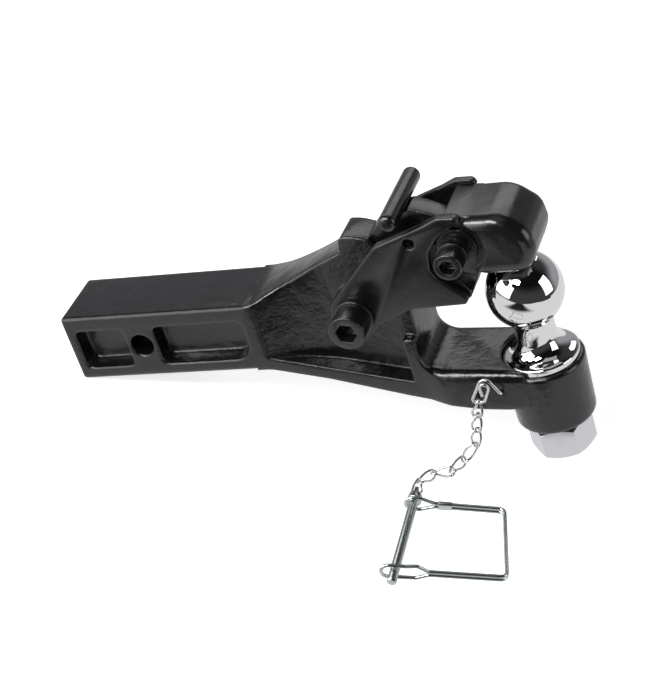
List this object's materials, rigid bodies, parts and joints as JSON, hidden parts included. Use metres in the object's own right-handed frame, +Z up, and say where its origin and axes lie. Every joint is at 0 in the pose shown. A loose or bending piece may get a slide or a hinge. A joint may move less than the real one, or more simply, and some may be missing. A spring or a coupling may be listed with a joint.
{
  "type": "combination ball and pintle tow hitch",
  "caption": "Receiver-mounted combination tow hitch: solid cast shank, fixed tow ball, swinging upper jaw with lock lever, and a safety pin with wire bail on a chain.",
  "frame": {"origin": "centre of the cross hole for the hitch pin in the shank", "axes": "+X along the floor towards the ball, +Y along the hitch pin hole, +Z up; the hitch stands as it rests on a floor, so its shank axis rises 16.25 degrees above +X"},
  "size_m": [0.3695, 0.2051, 0.1878],
  "materials": {
    "black_casting": "gloss black enamel over a rough casting",
    "black_jaw": "semi-gloss black enamel",
    "black_screws": "satin black oxide",
    "steel_bush": "turned steel",
    "spring_steel": "drawn spring wire",
    "chrome": "polished chrome",
    "zinc_nut": "satin bright zinc",
    "zinc_wire": "bright zinc wire",
    "zinc_pin": "bright zinc with a faint green cast"
  },
  "bodies": {
    "hook": {"hook_body": "black_casting", "hitch_ball": "chrome", "ball_lock_washer": "zinc_nut", "ball_nut": "zinc_nut"},
    "upper_jaw": {"jaw_beak": "black_jaw", "cheek_plate_right": "black_jaw", "cheek_plate_left": "black_jaw", "throat_block": "black_jaw", "main_pivot_bolt": "black_screws", "main_pivot_bush": "steel_bush", "main_pivot_spring_washer": "black_screws", "main_pivot_nut": "black_screws", "lever_pivot_bolt": "black_screws", "lever_pivot_bush": "steel_bush", "lever_pivot_spacer": "black_screws", "lever_pivot_spring_washer": "black_screws", "lever_pivot_nut": "black_screws", "lever_return_spring": "spring_steel"},
    "lever": {"lock_lever": "black_jaw", "lever_handle_rod": "black_jaw"},
    "anchor": {"chain_anchor": "zinc_wire"},
    "chain_drop": {"chain_drop_links": "zinc_wire"},
    "chain_run": {"chain_floor_links": "zinc_wire"},
    "chain_end": {"chain_end_link": "zinc_wire"},
    "pin": {"safety_pin": "zinc_pin"},
    "bail": {"pin_bail": "zinc_pin", "bail_ferrule": "zinc_pin"}
  },
  "joints": [
    {"name": "jaw_opening", "type": "hinge", "parent": "hook", "child": "upper_jaw", "pos_m": [0.15093, 0, 0.05753], "axis": [0, -1, 0], "range_deg": [0, 56]},
    {"name": "lever_lift", "type": "hinge", "parent": "upper_jaw", "child": "lever", "pos_m": [0.21474, 0, 0.12092], "axis": [0, 1, 0], "range_deg": [0, 28], "deforming": ["lever_return_spring"]},
    {"name": "anchor_turn", "type": "hinge", "parent": "hook", "child": "anchor", "pos_m": [0.25065, -0.033, 0.02202], "axis": [0, 1, 0], "range_deg": [-12, 25]},
    {"name": "chain_swing", "type": "hinge", "parent": "anchor", "child": "chain_drop", "pos_m": [0.23559, -0.033, 0.01294], "axis": [-1, 0, 0], "range_deg": [0, 38]},
    {"name": "chain_run_turn", "type": "hinge", "parent": "chain_drop", "child": "chain_run", "pos_m": [0.22966, -0.03892, -0.03364], "axis": [-0.9205, 0.3907, 0], "range_deg": [-15, 9]},
    {"name": "chain_end_turn", "type": "hinge", "parent": "chain_run", "child": "chain_end", "pos_m": [0.20716, -0.06685, -0.03534], "axis": [-0.9962, -0.0872, 0], "range_deg": [-15, 10]},
    {"name": "pin_swing", "type": "hinge", "parent": "chain_end", "child": "pin", "pos_m": [0.20824, -0.0792, -0.03311], "axis": [0.9969, 0.0785, 0], "range_deg": [-15, 15]},
    {"name": "bail_turn", "type": "hinge", "parent": "pin", "child": "bail", "pos_m": [0.20824, -0.0792, -0.03311], "axis": [-0.0785, 0.9969, 0], "continuous": true}
  ],
  "couplings": [
    {"joint": "lever_lift", "follows": "jaw_opening", "ratio": 0.5}
  ]
}
